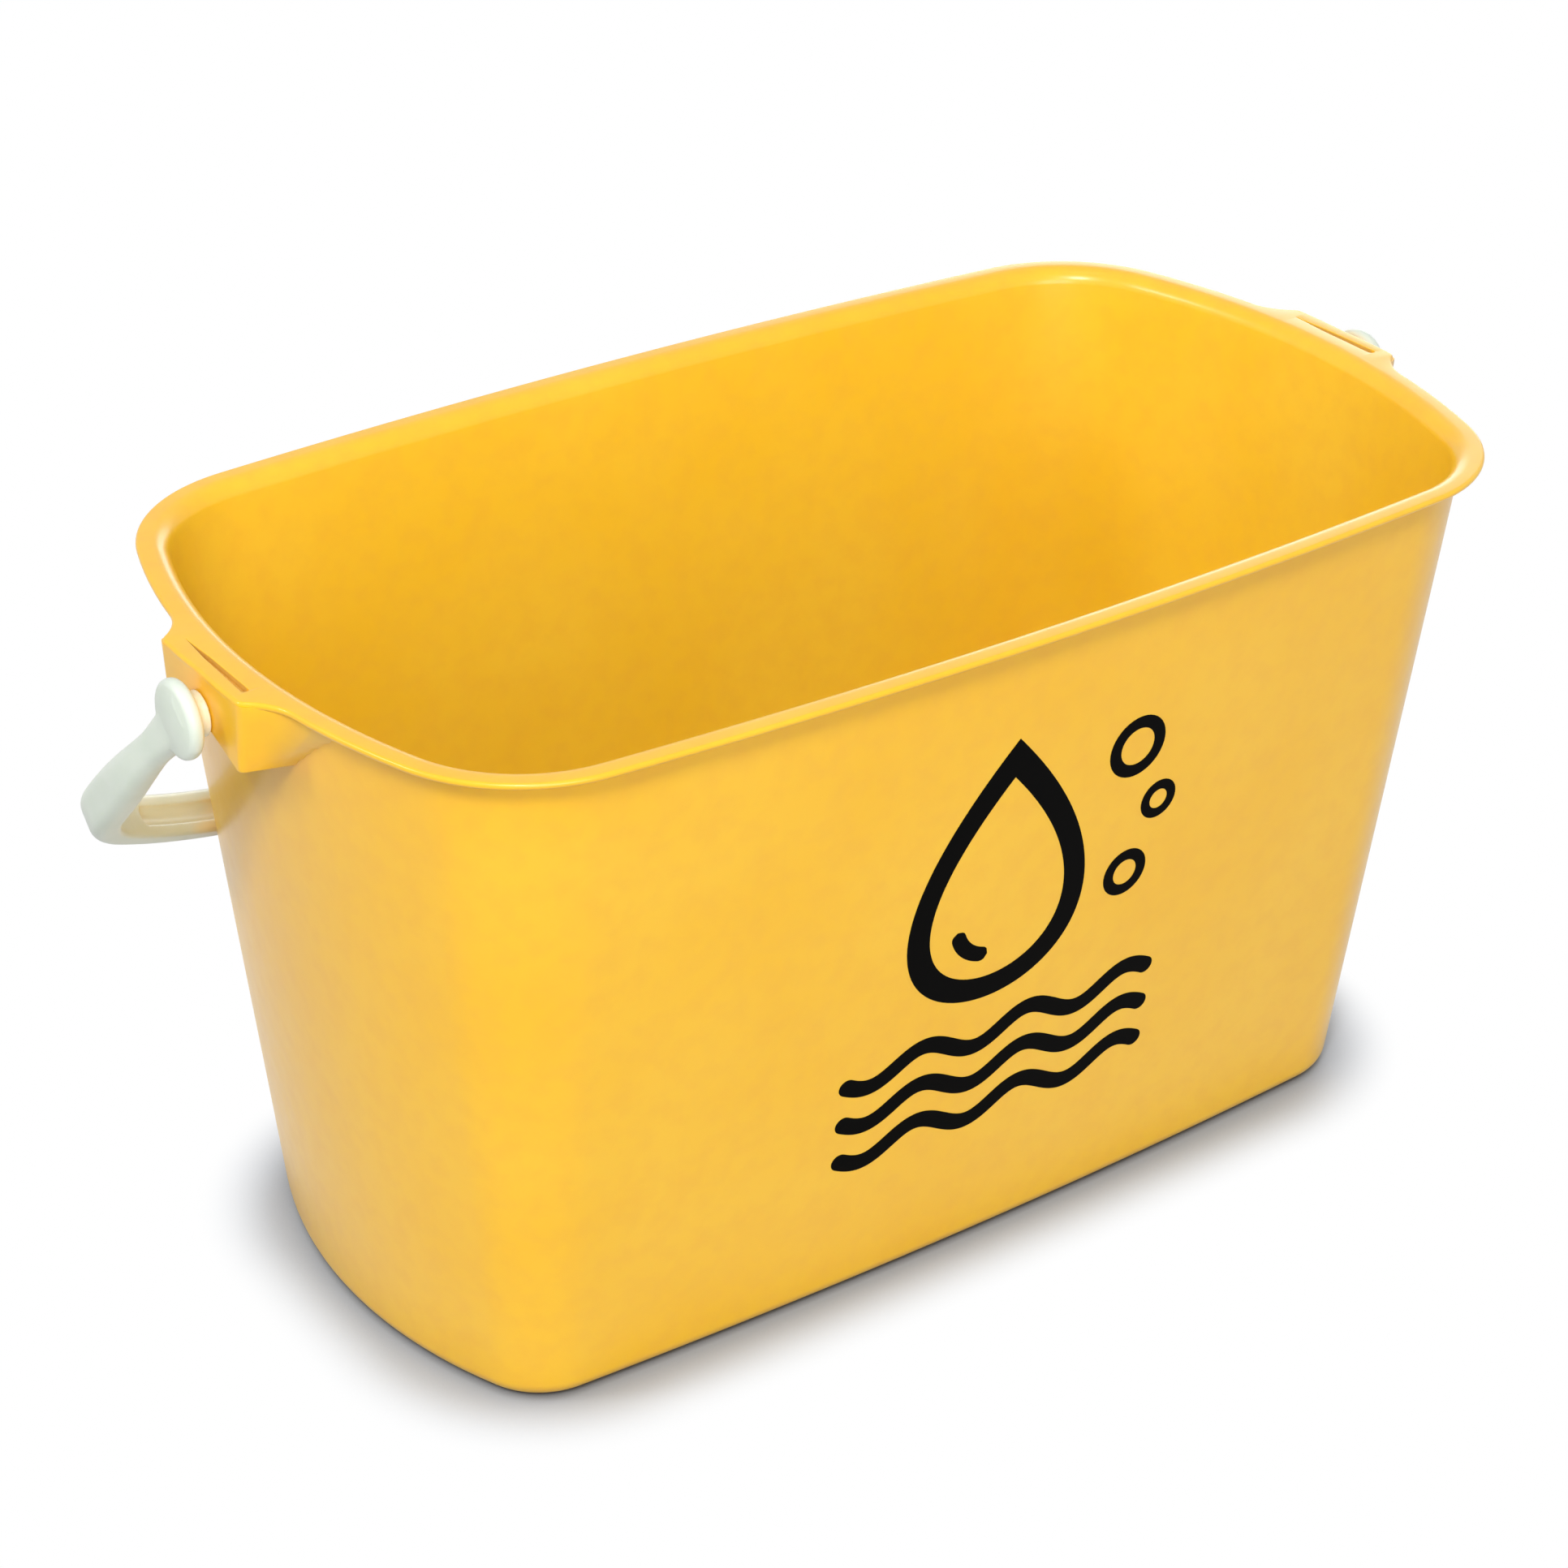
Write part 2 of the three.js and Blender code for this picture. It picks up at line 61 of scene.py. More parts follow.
# Rim: a flange with a fully rounded edge
OVERHANG = 8.0
FLANGE = 2.7
EDGE = FLANGE / 2
RIM_INNER = 6.0
RIM_FOOT = 2.5

# Lugs under the rim's ends, each with a lip and with a throat for the pin
LUG_REACH = 7.5
LUG_HEIGHT = 29.0
LUG_RISE = 2.4
LUG_TOP = 26.5
LUG_FOOT = 25.0
LUG_ROOT = 50.0
LUG_HOLLOW = 3.5
LUG_CORNER = 2.0
LUG_EDGE = 0.7
LIP_END = 43.0
LIP_BEND = 34.0
THROAT = 8.6
THROAT_HEIGHT = 3.9
LEAD_IN_TAPER = 0.4
HOLE = 5.35

# Groove in a lug's top, which narrows to a point over the last SLOT_TAPER of its length
SLOT_INSET = 0.2
SLOT_FRONT = 2.7
SLOT_BACK = 1.4
SLOT_HALF = 21.5
SLOT_DEPTH = 2.3
SLOT_FRONT_DEPTH = 0.6
SLOT_RAMP = 5.0
SLOT_MOUTH = 0.25
SLOT_TAPER = 0.35
SLOT_POINT = 0.05
# Painted shade on the slots' deep faces: how far below the top it starts, and its margin
SLOT_SHADE_START = 0.8
SLOT_SHADE_SLACK = 0.1

# Bail: pins on the X axis through the pivot, and a strap bent in one plane
PIVOT = 254.6
GAP = 0.3
PIN = 5.0
HEAD = 6.2
HEAD_LENGTH = 6.4
TIP = 3.8
SLIT = 1.8
COLLAR = 7.25
COLLAR_LENGTH = 4.8
COLLAR_LIP = 8.0
COLLAR_LIP_LENGTH = 0.9
DISC = 13.8
DISC_THICKNESS = 5.6
DISC_EDGE = 2.5
DISC_DOME = 1.2
ARM = 85.0
SHOULDER = 47.0
SHOULDER_TURN = math.radians(45.9)
BAR_BOW = 220.0
STRAP_INSET = 0.2
STRAP_WIDTH = 16.8
STRAP_THICKNESS = 10.5
STRAP_OUTER = 4.8
STRAP_INNER = 2.0
NECK_WIDTH = 12.0
NECK_FLARE = 3.4
NECK_THICKNESS = 6.2
FULL_THICKNESS = 60.0
NECK_OVERLAP = 8.0
NECK_START = 16.0
NECK_END = 78.0
CHANNEL_WIDTH = 7.6
CHANNEL_DEPTH = 3.2
CHANNEL_START = 131.0

# Print on the front wall: a film of ink, and the sizes of its motifs
INK_OUT = 0.09
INK_IN = -0.15
LINE_POINT = 0.1
DROP_X = -9.0
DROP_Z = 172.0
DROP_HALF = 50.0
DROP_RISE = 54.75
DROP_HOLE_HALF = 37.7
DROP_HOLE_RISE = 42.1
DROP_HOLE_SINK = 3.1
GLINT_RADIUS = 17.0
GLINT_SINK = 18.0
GLINT_TURNS = (math.radians(190), math.radians(262))
GLINT_LINE = 6.0
# Place across, height, radius and width of line
BUBBLES = ((46, 205, 10, 5), (60, 178, 6, 4), (49, 150, 7.5, 4.5))
WAVE_HEIGHTS = (100, 83, 66)
WAVE_HALF = 70.0
WAVE_SWING = 4.5
WAVE_LENGTH = 46.0
WAVE_LINE = 7.0

# Rows and points that the curves are drawn with
CORNER_STEPS = 20
SIDE_STEPS = 24
WALL_ROWS = 28
SLOT_ROWS = 60
STRAP_ROWS = 260
CHANNEL_ROWS = 160
CHANNEL_END_ROWS = 10
KNOB_STEPS = 72

LUG_FACE = TOP_PLAN["length"] + OVERHANG + LUG_REACH
LUG_BOTTOM = HEIGHT - LUG_HEIGHT


def lerp(a, b, share):
    return a + (b - a) * share


def smooth_step(value, low, high):
    share = min(max((value - low) / (high - low), 0), 1)
    return share * share * (3 - 2 * share)


def shares(count):
    return [i / count for i in range(count + 1)]


def arc(cx, cy, radius, start, end, steps):
    turns = [lerp(start, end, share) for share in shares(steps)]
    return [(cx + radius * math.cos(t), cy + radius * math.sin(t)) for t in turns]


def circle(cx, cy, radius, steps):
    return arc(cx, cy, radius, 0, math.tau, steps)[:-1]


def bend(a, b, c, steps):
    """Points on the curve from a to c that leaves along a-b and arrives along b-c."""
    a, b, c = Vector(a), Vector(b), Vector(c)
    return [(a.lerp(b, s).lerp(b.lerp(c, s), s))[:] for s in shares(steps)]


# Meshes


def mesh_object(name, verts, faces):
    mesh = bpy.data.meshes.new(name)
    mesh.from_pydata([Vector(v) * MM for v in verts], [], faces)
    made = bpy.data.objects.new(name, mesh)
    bpy.context.scene.collection.objects.link(made)
    return made


def loft(name, rings, closed=False):
    """Skin over equal rings, with flat ends, or joined end to end."""
    count = len(rings[0])
    verts = [p for ring in rings for p in ring]
    faces = []
    for i in range(len(rings) if closed else len(rings) - 1):
        low, high = i * count, (i + 1) % len(rings) * count
        for j in range(count):
            k = (j + 1) % count
            faces.append((low + j, low + k, high + k, high + j))
    if not closed:
        last = len(verts) - count
        faces.append(tuple(reversed(range(count))))
        faces.append(tuple(range(last, last + count)))
    return mesh_object(name, verts, faces)


def bar_along_x(name, outline, low, high):
    """Straight bar with the given outline in Y and Z."""
    return loft(name, [[(x, y, z) for y, z in outline] for x in (low, high)])


def bake_modifiers(thing):
    graph = bpy.context.evaluated_depsgraph_get()
    shaped = bpy.data.meshes.new_from_object(thing.evaluated_get(graph))
    thing.modifiers.clear()
    thing.data = shaped


def combine(target, tool, operation):
    cut = target.modifiers.new(operation.lower(), "BOOLEAN")
    cut.object = tool
    cut.operation = operation
    cut.solver = "EXACT"
    bake_modifiers(target)
    bpy.data.objects.remove(tool)


def mirrored(thing, name):
    """The same solid on the other side of the YZ plane."""
    twin = bpy.data.objects.new(name, thing.data.copy())
    bpy.context.scene.collection.objects.link(twin)
    twin.data.transform(Matrix.Scale(-1, 4, (1, 0, 0)))
    twin.data.flip_normals()
    return twin


def shade(thing, sharp_angle):
    thing.data.shade_smooth()
    thing.data.set_sharp_from_angle(angle=math.radians(sharp_angle))


# Tub


def plan_at(z):
    """Centres, radii and turns of the arcs that make a quarter of the wall's plan at height z."""
    size = {key: lerp(BASE_PLAN[key], TOP_PLAN[key], z / HEIGHT) for key in BASE_PLAN}
    length, width, corner = size["length"], size["width"], size["corner"]
    end_radius = (width ** 2 + size["end_bow"] ** 2) / (2 * size["end_bow"])
    side_radius = (length ** 2 + size["side_bow"] ** 2) / (2 * size["side_bow"])
    end_centre = Vector((length - end_radius, 0))
    side_centre = Vector((0, width - side_radius))
    line = side_centre - end_centre
    apart = line.length
    line.normalize()
    to_end, to_side = end_radius - corner, side_radius - corner
    along = (to_end ** 2 - to_side ** 2 + apart ** 2) / (2 * apart)
    across = math.sqrt(to_end ** 2 - along ** 2)
    centre = end_centre + line * along + Vector((-line.y, line.x)) * across
    from_end, from_side = centre - end_centre, centre - side_centre
    return {
        "end": (end_centre, end_radius, math.atan2(from_end.y, from_end.x)),
        "side": (side_centre, side_radius, math.atan2(from_side.y, from_side.x)),
        "corner": (centre, corner),
    }


RIM_CENTRE, END_RADIUS, RIM_TURN = plan_at(HEIGHT)["end"]
RIM_RADIUS = END_RADIUS + OVERHANG


def rim_edge(y):
    return RIM_CENTRE.x + math.sqrt(RIM_RADIUS ** 2 - y ** 2)


def lip_outline():
    """The lip's edge over one half of a lug, from the middle of its face out to the rim's edge."""
    bend_at = Vector((rim_edge(LIP_BEND), LIP_BEND))
    corner = Vector((LUG_FACE, LUG_TOP))
    start = corner.lerp(bend_at, LUG_CORNER / (corner - bend_at).length)
    line = [(LUG_FACE, 0)]
    line += bend((LUG_FACE, LUG_TOP - LUG_CORNER), corner, start, steps=8)
    line += bend(start, bend_at, (rim_edge(LIP_END), LIP_END), steps=24)
    return line


def lip_reach(turn):
    """How far the lip stands out beyond the plain rim, along a line from the end arc's centre."""
    polar = [(math.atan2(y, x - RIM_CENTRE.x), math.hypot(x - RIM_CENTRE.x, y)) for x, y in LIP]
    for (turn_a, reach_a), (turn_b, reach_b) in zip(polar, polar[1:]):
        if turn_a <= turn < turn_b:
            share = (turn - turn_a) / (turn_b - turn_a)
            return max(lerp(reach_a, reach_b, share) - RIM_RADIUS, 0)
    return 0


def end_shares():
    """Shares of the end arc, close together where the lip's edge bends."""
    # From and to, measured across the lug, and the number of steps
    bands = ((0, 24, 12), (24, 30, 16), (30, LIP_END, 20))
    rows = [lerp(low, high, i / count) for low, high, count in bands for i in range(count)]
    turns = [math.asin(y / RIM_RADIUS) for y in rows]
    lip_turn = math.asin(LIP_END / RIM_RADIUS)
    turns += [lerp(lip_turn, RIM_TURN, share) for share in shares(6)]
    return [turn / RIM_TURN for turn in turns]


LIP = lip_outline()
END_SHARES = end_shares()
LIP_REACH = [lip_reach(share * RIM_TURN) for share in END_SHARES]


def plan_ring(z, offset, lip=0):
    """The wall's plan at height z, moved outwards, with a share of the lip's reach at the lugs."""
    plan = plan_at(z)
    centre, radius, end_turn = plan["end"]
    side_centre, side_radius, side_turn = plan["side"]
    corner_centre, corner = plan["corner"]
    row = []
    for share, reach in zip(END_SHARES, LIP_REACH):
        out = radius + offset + reach * lip
        turn = share * end_turn
        row.append((centre.x + out * math.cos(turn), out * math.sin(turn)))
    row += arc(*corner_centre, corner + offset, end_turn, side_turn, CORNER_STEPS)[1:]
    row += arc(*side_centre, side_radius + offset, side_turn, QUARTER, SIDE_STEPS)[1:]
    half = row + [(-x, y) for x, y in reversed(row[:-1])]
    return [(x, y, z) for x, y in half + [(x, -y) for x, y in reversed(half[1:-1])]]


def shell():
    """Floor, walls and rim, turned down along one section that follows the plan."""
    points = len(plan_ring(0, 0))
    rings = []
    for radius, rise in GATE_MARK:
        rings.append([(x, y, FOOT_HEIGHT + rise) for x, y in circle(0, 0, radius, points)])
    inner_foot = -BASE_EDGE - FOOT_WIDTH
    wall_top = HEIGHT - FLANGE - RIM_FOOT
    rim_bend = HEIGHT - RIM_INNER
    floor_bend = FLOOR_TOP + FLOOR_EDGE
    below_rim = [(inner_foot - FOOT_CHAMFER, FOOT_HEIGHT), (inner_foot, 0)]
    below_rim += arc(-BASE_EDGE, BASE_EDGE, BASE_EDGE, -QUARTER, 0, steps=12)
    below_rim += [(0, lerp(BASE_EDGE, wall_top, s)) for s in shares(WALL_ROWS)[1:-1]]
    below_rim += arc(RIM_FOOT, wall_top, RIM_FOOT, math.pi, QUARTER, steps=8)
    rim = arc(OVERHANG - EDGE, HEIGHT - EDGE, EDGE, -QUARTER, QUARTER, steps=16)
    inside = arc(RIM_INNER - WALL, rim_bend, RIM_INNER, QUARTER, math.pi, steps=14)
    inside += [(-WALL, lerp(rim_bend, floor_bend, s)) for s in shares(WALL_ROWS)[1:-1]]
    inside += arc(-WALL - FLOOR_EDGE, floor_bend, FLOOR_EDGE, 0, -QUARTER, steps=16)
    for section, lip in ((below_rim, 0), (rim, 1), (inside, 0)):
        rings += [plan_ring(z, offset, lip) for offset, z in section]
    return loft("tub_shell", rings)


def lug_ring(z, inset, slope):
    """Plan of a lug's box, whose foot climbs towards the face by a share, slope, of its rise."""
    share = min(max((z - LUG_BOTTOM) / (LUG_HEIGHT - FLANGE), 0), 1)
    face = LUG_FACE - inset
    half = lerp(LUG_FOOT, LUG_TOP, share) - inset
    root_half = lerp(LUG_FOOT, LUG_ROOT, share) - inset
    corner = Vector((face, half))
    root = Vector((TOP_PLAN["length"], root_half))
    start = corner.lerp(root, LUG_CORNER / (corner - root).length)
    side = (root - corner).normalized()
    # The cheek passes half way between this point and its middle
    hollow = corner.lerp(root, 0.5) + Vector((-side.y, side.x)) * 2 * LUG_HOLLOW * share
    inside_tub = corner.lerp(root, 2)[:]
    row = [inside_tub] + bend(root, hollow, start, steps=16)[:-1]
    row += bend(start, corner, (face, half - LUG_CORNER), steps=6)
    row += [(face, half * s) for s in (0.6, 0.3, 0)]
    row += [(x, -y) for x, y in reversed(row[:-1])]
    rise = slope * LUG_RISE / (LUG_FACE - TOP_PLAN["length"])
    return [(x, y, z + rise * (x - TOP_PLAN["length"])) for x, y in reversed(row)]


def lug_box():
    """The lug's outside, up to the middle of the flange, with a rounded foot."""
    foot = arc(-LUG_EDGE, LUG_EDGE, LUG_EDGE, -QUARTER, 0, steps=4)
    rings = [lug_ring(LUG_BOTTOM + z, -x, 1) for x, z in foot]
    for share in shares(6)[1:]:
        z = lerp(LUG_BOTTOM + LUG_EDGE, HEIGHT - FLANGE, share)
        rings.append(lug_ring(z, 0, 1 - share))
    rings.append(lug_ring(HEIGHT - EDGE, 0, 0))
    return loft("lug", rings)


def lug_pocket():
    heights = (LUG_BOTTOM - OVERRUN, LUG_BOTTOM, HEIGHT - FLANGE)
    return loft("pocket", [lug_ring(z, WALL, 0) for z in heights])


def lug_back():
    """Cutter that ends the box in the middle of the wall, and above the rim's inner bend inside
    the flange."""
    return loft("inside", [plan_ring(z, offset) for z, offset in (
        (LUG_BOTTOM - OVERRUN, -WALL / 2), (HEIGHT - RIM_INNER - EDGE, -WALL / 2),
        (HEIGHT - FLANGE, WALL / 2), (HEIGHT + OVERRUN, WALL / 2))])


def lug_throat():
    """Cutter for the lead-in and the throat that the pin snaps up through."""
    foot = PIVOT - THROAT_HEIGHT
    half = [(LUG_FOOT, LUG_BOTTOM - OVERRUN), (LUG_FOOT - LEAD_IN_TAPER, LUG_BOTTOM + LUG_RISE)]
    half += [(THROAT / 2, foot), (THROAT / 2, PIVOT)]
    outline = half + [(-y, z) for y, z in reversed(half)]
    return bar_along_x("throat", outline, LUG_FACE - WALL - GAP, LUG_FACE + OVERRUN)


def lug_hole():
    outline = circle(0, PIVOT, HOLE, steps=48)
    return bar_along_x("hole", outline, LUG_FACE - WALL - OVERRUN, LUG_FACE + OVERRUN)


def lug():
    box = lug_box()
    for cutter in (lug_pocket(), lug_back(), lug_throat(), lug_hole()):
        combine(box, cutter, "DIFFERENCE")
    return box


def slot():
    """Cutter for the groove in a lug's top: a point at its back, deep along its middle, and
    rising to a rounded end at its front."""
    start = TOP_PLAN["length"] + OVERHANG + SLOT_INSET
    rings = []
    for step in shares(SLOT_ROWS):
        share = 0.5 - 0.5 * math.cos(math.pi * step)
        from_front = 2 * SLOT_HALF * share
        full = lerp(SLOT_FRONT, SLOT_BACK, share) / 2
        near = max(1 - from_front / full, 0)
        narrowing = math.sqrt(max(1 - near ** 2, 0)) * min((1 - share) / SLOT_TAPER, 1)
        half = max(full * narrowing, SLOT_POINT)
        depth = lerp(SLOT_FRONT_DEPTH, SLOT_DEPTH, smooth_step(from_front, 0, SLOT_RAMP))
        side = [(half, -depth)]
        for x, z in arc(0, 0, SLOT_MOUTH, 0, QUARTER, steps=5):
            side.append((half + SLOT_MOUTH - x, z - SLOT_MOUTH))
        side.append((half + SLOT_MOUTH, OVERRUN))
        row = [(-x, z) for x, z in side] + side[::-1]
        rings.append([(start + full + x, from_front - SLOT_HALF, HEIGHT + z) for x, z in row])
    return loft("slot", rings)


def lies_in_slot(place):
    start = TOP_PLAN["length"] + OVERHANG + SLOT_INSET
    return (HEIGHT - SLOT_DEPTH - SLOT_SHADE_SLACK < place.z < HEIGHT - SLOT_SHADE_START
            and start - SLOT_SHADE_SLACK < abs(place.x) < start + SLOT_FRONT + SLOT_SHADE_SLACK
            and abs(place.y) < SLOT_HALF)


def make_tub():
    tub = shell()
    ends = ((lug(), "lug_left", "UNION"), (slot(), "slot_left", "DIFFERENCE"))
    for piece, twin_name, operation in ends:
        combine(tub, mirrored(piece, twin_name), operation)
        combine(tub, piece, operation)
    tub.data.materials.clear()
    tub.data.materials.append(tub_plastic())
    tub.data.materials.append(slot_painted_shade())
    # Faces deep in the slots take the painted shade, a darker material
    for face in tub.data.polygons:
        face.material_index = int(lies_in_slot(face.center / MM))
    shade(tub, sharp_angle=34)
    return tub


# Bail, drawn in its own plane: x across the tub, reach away from the pivot axis

DISC_START = LUG_FACE + GAP + COLLAR_LENGTH
STRAP_MIDDLE = DISC_START + STRAP_INSET + STRAP_THICKNESS / 2
SHOULDER_LENGTH = SHOULDER * SHOULDER_TURN
SHOULDER_END = STRAP_MIDDLE - SHOULDER * (1 - math.cos(SHOULDER_TURN))
BOW_END = math.acos(max(math.cos(SHOULDER_TURN) - SHOULDER_END / BAR_BOW, 0))
BOW_LENGTH = BAR_BOW * (BOW_END - SHOULDER_TURN)
FLAT = SHOULDER_END - BAR_BOW * (math.cos(SHOULDER_TURN) - math.cos(BOW_END))
HALF_STRAP = ARM + SHOULDER_LENGTH + BOW_LENGTH + FLAT


def strap_place(length):
    """x, reach and turn of the strap's middle line, at a length from the right pivot."""
    if length > HALF_STRAP:
        x, reach, turn = strap_place(2 * HALF_STRAP - length)
        return -x, reach, math.pi - turn
    if length <= ARM:
        return STRAP_MIDDLE, length, 0
    turn = min((length - ARM) / SHOULDER, SHOULDER_TURN)
    x = STRAP_MIDDLE - SHOULDER * (1 - math.cos(turn))
    reach = ARM + SHOULDER * math.sin(turn)
    if turn < SHOULDER_TURN:
        return x, reach, turn
    bow = min(SHOULDER_TURN + (length - ARM - SHOULDER_LENGTH) / BAR_BOW, BOW_END)
    x -= BAR_BOW * (math.cos(SHOULDER_TURN) - math.cos(bow))
    reach += BAR_BOW * (math.sin(bow) - math.sin(SHOULDER_TURN))
    return x - max(length - ARM - SHOULDER_LENGTH - BOW_LENGTH, 0), reach, bow


def beside_strap(place, out, across):
    x, reach, turn = place
    return (x + out * math.cos(turn), -across, -reach - out * math.sin(turn))


def strap_ring(length):
    """The strap's section: two wide rounds outside, two small ones on its inner face."""
    from_knob = min(length, 2 * HALF_STRAP - length)
    thickness = lerp(NECK_THICKNESS, STRAP_THICKNESS, smooth_step(from_knob, 0, FULL_THICKNESS))
    width = lerp(NECK_WIDTH, STRAP_WIDTH, smooth_step(from_knob, NECK_START, NECK_END))
    width += NECK_FLARE * (1 - smooth_step(from_knob, NECK_START / 2, 2 * NECK_START))
    outer = min(STRAP_OUTER, thickness - STRAP_INNER)
    low = -STRAP_THICKNESS / 2 + STRAP_INNER
    high = -STRAP_THICKNESS / 2 + thickness - outer
    side, inner_side = width / 2 - outer, width / 2 - STRAP_INNER
    section = arc(high, side, outer, 0, QUARTER, steps=8)
    section += arc(low, inner_side, STRAP_INNER, QUARTER, math.pi, steps=6)
    section += arc(low, -inner_side, STRAP_INNER, math.pi, 3 * QUARTER, steps=6)
    section += arc(high, -side, outer, -QUARTER, 0, steps=8)
    place = strap_place(length)
    return [beside_strap(place, out, across) for out, across in section]


def channel():
    """Cutter for the rounded channel in the inner face of the bar."""
    half = CHANNEL_WIDTH / 2
    face = -STRAP_THICKNESS / 2
    stop = 2 * HALF_STRAP - CHANNEL_START
    lengths = []
    for row in range(CHANNEL_END_ROWS):
        turn = QUARTER * (row + 0.5) / CHANNEL_END_ROWS
        lengths.append(CHANNEL_START + half * (1 - math.cos(turn)))
    last = lengths[-1]
    far_end = [2 * HALF_STRAP - length for length in reversed(lengths)]
    lengths += [lerp(last, far_end[0], s) for s in shares(CHANNEL_ROWS)[1:-1]]
    rings = []
    for length in lengths + far_end:
        from_end = min(length - CHANNEL_START, stop - length)
        side = math.sqrt(half ** 2 - max(half - from_end, 0) ** 2)
        place = strap_place(length)
        bottom = arc(0, 0, side, -QUARTER, QUARTER, steps=16)
        section = [(face + out * CHANNEL_DEPTH / half, across) for out, across in bottom]
        section += [(face - OVERRUN, side), (face - OVERRUN, -side)]
        rings.append([beside_strap(place, out, across) for out, across in section])
    return loft("channel", rings)


def knob():
    """Snap pin, collar and mushroom disc on the +X side, turned about the pivot axis."""
    back = LUG_FACE - WALL - GAP
    collar = LUG_FACE + GAP
    outer = DISC_START + DISC_THICKNESS
    rim = DISC - DISC_EDGE
    profile = [(TIP, back - HEAD_LENGTH), (HEAD, back - HEAD_LENGTH / 3), (HEAD, back)]
    profile += [(PIN, back), (PIN, collar)]
    profile += [(COLLAR_LIP, collar), (COLLAR_LIP, collar + COLLAR_LIP_LENGTH)]
    profile += [(COLLAR, collar + COLLAR_LIP_LENGTH), (COLLAR, DISC_START)]
    profile += arc(rim, DISC_START + DISC_EDGE, DISC_EDGE, -QUARTER, 0, steps=8)
    profile += arc(rim, outer - DISC_EDGE, DISC_EDGE, 0, QUARTER, steps=8)
    for share in shares(6)[1:-1]:
        profile.append((rim * (1 - share), outer + DISC_DOME * (1 - (1 - share) ** 2)))
    rings = [[(x, y, z) for y, z in circle(0, 0, radius, KNOB_STEPS)] for radius, x in profile]
    made = loft("knob", rings)
    wide, thin = HEAD + OVERRUN, SLIT / 2
    outline = [(-wide, -thin), (wide, -thin), (wide, thin), (-wide, thin)]
    slit = bar_along_x("slit", outline, back - HEAD_LENGTH - OVERRUN, back + GAP)
    combine(made, slit, "DIFFERENCE")
    return made


def make_bail(hang):
    """The bail as one moulding: its parts grow together with soft fillets."""
    first, last = -NECK_OVERLAP, 2 * HALF_STRAP + NECK_OVERLAP
    rings = [strap_ring(lerp(first, last, share)) for share in shares(STRAP_ROWS)]
    bail = loft("bail_moulding", rings)
    combine(bail, channel(), "DIFFERENCE")
    right = knob()
    left = mirrored(right, "knob_left")
    for piece in (right, left):
        combine(bail, piece, "UNION")
    skin = bail.modifiers.new("skin", "REMESH")
    skin.mode = "VOXEL"
    skin.voxel_size = 0.55 * MM
    relax = bail.modifiers.new("relax", "SMOOTH")
    relax.factor = 0.5
    relax.iterations = 5
    # The skin's squares are far finer than its curves need
    thin = bail.modifiers.new("thin", "DECIMATE")
    thin.ratio = 0.42
    bake_modifiers(bail)
    bail.data.transform(Matrix.Translation((0, 0, PIVOT * MM)) @ Matrix.Rotation(hang, 4, "X"))
    bail.data.materials.clear()
    bail.data.materials.append(bail_plastic())
    bail.data.shade_smooth()
    return bail


def hang_angle():
    """How far the CAD bail leans back at rest, from the middle of its bar."""
    middle = [v.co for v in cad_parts["bail"].data.vertices if abs(v.co.x) < SHOULDER * MM]
    low = Vector(min(p[i] for p in middle) for i in range(3))
    high = Vector(max(p[i] for p in middle) for i in range(3))
    centre = (low + high) / 2
    return math.atan2(centre.y, PIVOT * MM - centre.z)


# Print: a water drop with bubbles over three waves, in ink on the front wall


def on_front_wall(x, z, lift):
    centre, radius, _ = plan_at(z)["side"]
    return (x, -centre.y - math.sqrt((radius + lift) ** 2 - x ** 2), z)


def ink_band(name, left, right, closed=False):
    """A film of ink between two lines drawn on the wall."""
    rings = [[
        on_front_wall(*a, INK_OUT), on_front_wall(*a, INK_IN),
        on_front_wall(*b, INK_IN), on_front_wall(*b, INK_OUT)] for a, b in zip(left, right)]
    return loft(name, rings, closed)


def stroke(name, path, width, closed=False):
    """A line of ink along a path, mitred at its corners, with round ends where it is open."""
    count = len(path)
    path = [Vector(p) for p in path]
    run = [0]
    for a, b in zip(path, path[1:]):
        run.append(run[-1] + (b - a).length)
    left, right = [], []
    for i, point in enumerate(path):
        before = path[i - 1] if closed or i else point
        after = path[(i + 1) % count] if closed or i + 1 < count else point
        into = (point - before).normalized() if before != point else (after - point).normalized()
        out = (after - point).normalized() if after != point else into
        across = Vector((-into.y - out.y, into.x + out.x)) / (1 + into.dot(out))
        half = width / 2
        if not closed:
            short = max(half - min(run[i], run[-1] - run[i]), 0)
            half = math.sqrt(max(half ** 2 - short ** 2, LINE_POINT ** 2))
        left.append(point + across * half)
        right.append(point - across * half)
    return ink_band(name, left, right, closed)


def teardrop(cx, cz, half, rise, steps):
    """Closed outline with its tip at the top, 2 x rise high and about 1.5 x half wide."""
    turns = [math.tau * i / steps for i in range(steps)]
    return [(cx - half * math.sin(t) * math.sin(t / 2), cz + rise * math.cos(t)) for t in turns]


def fine_ends(start, stop, width, steps):
    """Values from start to stop, close together within half a stroke of both ends."""
    half = width / 2
    ends = [half * (1 - math.cos(QUARTER * s)) for s in shares(8)[:-1]]
    middle = [lerp(start + half, stop - half, s) for s in shares(steps)]
    return [start + e for e in ends] + middle + [stop - e for e in reversed(ends)]


